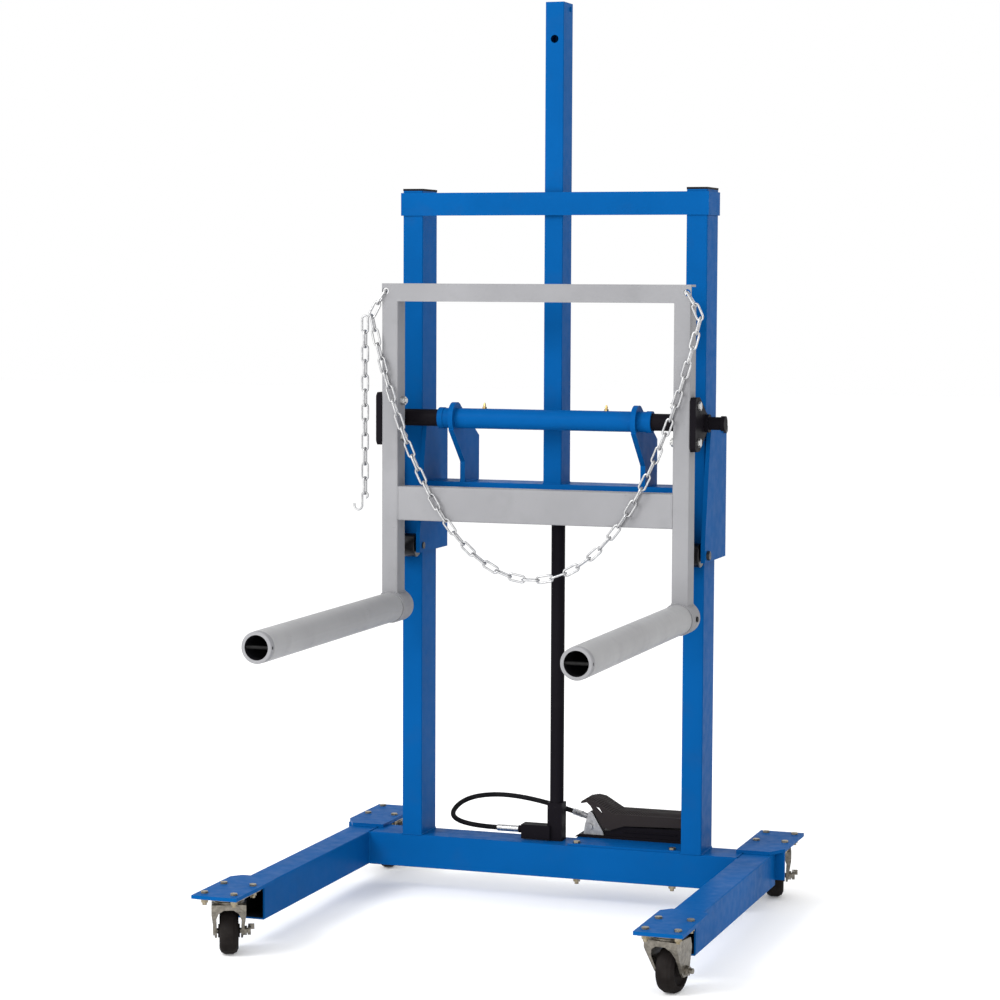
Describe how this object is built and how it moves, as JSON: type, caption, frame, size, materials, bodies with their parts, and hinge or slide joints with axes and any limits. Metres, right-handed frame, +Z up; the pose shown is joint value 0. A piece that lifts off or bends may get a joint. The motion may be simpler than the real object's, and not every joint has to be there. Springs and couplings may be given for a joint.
{
  "type": "wheel dolly",
  "caption": "Rolling hydraulic wheel dolly for heavy vehicles: caster base, mast, foot-pumped lift carriage and a tilting fork frame with roller sleeves and a safety chain.",
  "frame": {"origin": "on the floor, in the middle of the machine's outer box", "axes": "+X the operator's right, +Y to the rear where the operator stands, +Z up; the forks point to -Y"},
  "size_m": [1.106, 1.233, 2.134],
  "materials": {
    "blue_paint": "satin",
    "grey_paint": "satin",
    "black_paint": "satin",
    "black_plastic": "matte",
    "chrome_rod": "polished",
    "zinc_steel": "galvanised",
    "dark_bolt": "blackened",
    "brass": "plain",
    "tyre": "matte",
    "hose_rubber": "matte",
    "dark_roller": "blackened",
    "cast_aluminium": "cast"
  },
  "bodies": {
    "base": {"crossbeam": "blue_paint", "leg_left": "blue_paint", "leg_right": "blue_paint", "upright_left": "blue_paint", "upright_right": "blue_paint", "top_strap": "blue_paint", "upright_caps": "black_plastic", "front_plate_left": "blue_paint", "front_plate_right": "blue_paint", "rear_bracket_left": "blue_paint", "rear_bracket_right": "blue_paint", "caster_mounts": "zinc_steel", "base_bolts": "zinc_steel", "cylinder_block": "black_paint", "cylinder_barrel": "black_paint", "pump_tray": "blue_paint", "pump_body": "black_paint", "pump_valve": "cast_aluminium", "hose": "hose_rubber", "hose_ferrules": "zinc_steel"},
    "treadle": {"pump_treadle": "black_paint"},
    "lift": {"carriage_bar": "blue_paint", "centre_post": "blue_paint", "post_pin": "blue_paint", "ram_rod": "chrome_rod", "carriage_bracket_left": "blue_paint", "carriage_bracket_right": "blue_paint", "shaft_ears": "blue_paint", "torque_tube": "blue_paint", "grease_nipples": "brass", "roller_bolts": "dark_bolt"},
    "front_rollers": {"front_rollers": "dark_roller"},
    "rear_rollers": {"rear_rollers": "dark_roller"},
    "shift": {"tilt_shaft": "black_paint"},
    "tilt": {"frame_post_left": "grey_paint", "frame_post_right": "grey_paint", "shaft_hub_left": "black_paint", "shaft_hub_right": "black_paint", "fork_pipe_left": "grey_paint", "fork_pipe_right": "grey_paint", "frame_low_bar": "grey_paint", "frame_top_bar": "grey_paint", "fork_rings": "zinc_steel", "fork_pins": "dark_bolt", "hub_bolts": "zinc_steel", "frame_stops": "tyre"},
    "sleeve_left": {"fork_sleeve_left": "grey_paint"},
    "sleeve_right": {"fork_sleeve_right": "grey_paint"},
    "chain": {"chain": "zinc_steel"},
    "chain_tail": {"chain_tail": "zinc_steel"},
    "yoke_front_left": {"caster_yoke_front_left": "zinc_steel"},
    "wheel_front_left": {"caster_wheel_front_left": "tyre"},
    "brake_front_left": {"brake_front_left": "dark_bolt"},
    "yoke_front_right": {"caster_yoke_front_right": "zinc_steel"},
    "wheel_front_right": {"caster_wheel_front_right": "tyre"},
    "yoke_rear_left": {"caster_yoke_rear_left": "zinc_steel"},
    "wheel_rear_left": {"caster_wheel_rear_left": "tyre"},
    "yoke_rear_right": {"caster_yoke_rear_right": "zinc_steel"},
    "wheel_rear_right": {"caster_wheel_rear_right": "tyre"},
    "brake_rear_right": {"brake_rear_right": "dark_bolt"}
  },
  "joints": [
    {"name": "lift_slide", "type": "slide", "parent": "base", "child": "lift", "axis": [0, 0, 1], "range_m": [-0.56, 0.25]},
    {"name": "front_roller_spin", "type": "hinge", "parent": "lift", "child": "front_rollers", "pos_m": [0, 0.2831, 0.85], "axis": [1, 0, 0], "continuous": true},
    {"name": "rear_roller_spin", "type": "hinge", "parent": "lift", "child": "rear_rollers", "pos_m": [0, 0.4279, 1.138], "axis": [1, 0, 0], "continuous": true},
    {"name": "side_shift", "type": "slide", "parent": "lift", "child": "shift", "axis": [1, 0, 0], "range_m": [-0.05, 0.05]},
    {"name": "frame_tilt", "type": "hinge", "parent": "shift", "child": "tilt", "pos_m": [0, 0.2625, 1.158], "axis": [-1, 0, 0], "range_deg": [0, 12]},
    {"name": "sleeve_spin_left", "type": "hinge", "parent": "tilt", "child": "sleeve_left", "pos_m": [-0.352, -0.1885, 0.712], "axis": [0, 1, 0], "continuous": true},
    {"name": "sleeve_spin_right", "type": "hinge", "parent": "tilt", "child": "sleeve_right", "pos_m": [0.352, -0.1885, 0.712], "axis": [0, 1, 0], "continuous": true},
    {"name": "chain_swing", "type": "hinge", "parent": "tilt", "child": "chain", "pos_m": [0, 0.174, 1.44], "axis": [-1, 0, 0], "range_deg": [0, 15]},
    {"name": "tail_swing", "type": "hinge", "parent": "chain", "child": "chain_tail", "pos_m": [-0.413, 0.16, 1.397], "axis": [0, 1, 0], "range_deg": [0, 25]},
    {"name": "treadle_rock", "type": "hinge", "parent": "base", "child": "treadle", "pos_m": [0.146, 0.4485, 0.187], "axis": [0, 1, 0], "range_deg": [-4, 3]},
    {"name": "swivel_front_left", "type": "hinge", "parent": "base", "child": "yoke_front_left", "pos_m": [-0.4995, -0.4335, 0.12], "axis": [0, 0, 1], "continuous": true},
    {"name": "roll_front_left", "type": "hinge", "parent": "yoke_front_left", "child": "wheel_front_left", "pos_m": [-0.50845, -0.4134, 0.051], "axis": [0.9135, 0.4067, 0], "continuous": true},
    {"name": "brake_front_left", "type": "hinge", "parent": "yoke_front_left", "child": "brake_front_left", "pos_m": [-0.47099, -0.39673, 0.051], "axis": [0.9135, 0.4067, 0], "range_deg": [0, 45]},
    {"name": "swivel_front_right", "type": "hinge", "parent": "base", "child": "yoke_front_right", "pos_m": [0.4995, -0.4335, 0.12], "axis": [0, 0, 1], "continuous": true},
    {"name": "roll_front_right", "type": "hinge", "parent": "yoke_front_right", "child": "wheel_front_right", "pos_m": [0.50332, -0.41183, 0.051], "axis": [0.9848, -0.1736, 0], "continuous": true},
    {"name": "swivel_rear_left", "type": "hinge", "parent": "base", "child": "yoke_rear_left", "pos_m": [-0.4995, 0.5415, 0.12], "axis": [0, 0, 1], "continuous": true},
    {"name": "roll_rear_left", "type": "hinge", "parent": "yoke_rear_left", "child": "wheel_rear_left", "pos_m": [-0.50702, 0.56217, 0.051], "axis": [0.9397, 0.342, 0], "continuous": true},
    {"name": "swivel_rear_right", "type": "hinge", "parent": "base", "child": "yoke_rear_right", "pos_m": [0.4995, 0.5415, 0.12], "axis": [0, 0, 1], "continuous": true},
    {"name": "roll_rear_right", "type": "hinge", "parent": "yoke_rear_right", "child": "wheel_rear_right", "pos_m": [0.49418, 0.56285, 0.051], "axis": [0.9703, 0.2419, 0], "continuous": true},
    {"name": "brake_rear_right", "type": "hinge", "parent": "yoke_rear_right", "child": "brake_rear_right", "pos_m": [0.53396, 0.57276, 0.051], "axis": [0.9703, 0.2419, 0], "range_deg": [0, 45]}
  ],
  "couplings": [
    {"joint": "front_roller_spin", "follows": "lift_slide", "rad_per_m": -35.714},
    {"joint": "rear_roller_spin", "follows": "lift_slide", "rad_per_m": 62.5}
  ]
}
